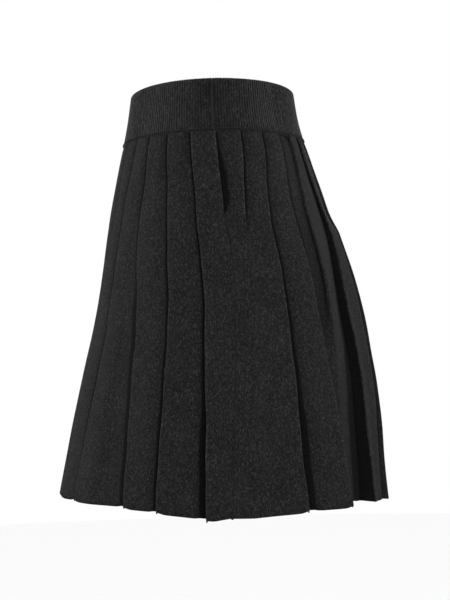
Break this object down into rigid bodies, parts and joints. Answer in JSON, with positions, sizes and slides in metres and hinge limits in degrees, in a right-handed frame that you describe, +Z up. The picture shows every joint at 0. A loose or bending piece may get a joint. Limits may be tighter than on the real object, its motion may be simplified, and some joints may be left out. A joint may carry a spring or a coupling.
{
  "type": "knit mini skirt",
  "caption": "Pleated knit mini skirt with a ribbed waistband, hollow and open at waist and hem, flaring from waist to hem.",
  "frame": {"origin": "middle of the waistband, on the skirt's upright axis, where the wearer's waist holds it", "axes": "+Z up; the front faces -Y, the back +Y, and the wearer's left side +X"},
  "size_m": [0.4263, 0.3487, 0.4238],
  "materials": {
    "charcoal_rib_knit": "matt 1x1 rib knit in heathered charcoal yarn",
    "charcoal_jersey_knit": "matt fine jersey knit in heathered charcoal yarn"
  },
  "bodies": {
    "root": {"waistband_front": "charcoal_rib_knit", "waistband_back": "charcoal_rib_knit", "skirt_front": "charcoal_jersey_knit", "skirt_back": "charcoal_jersey_knit"}
  },
  "joints": []
}
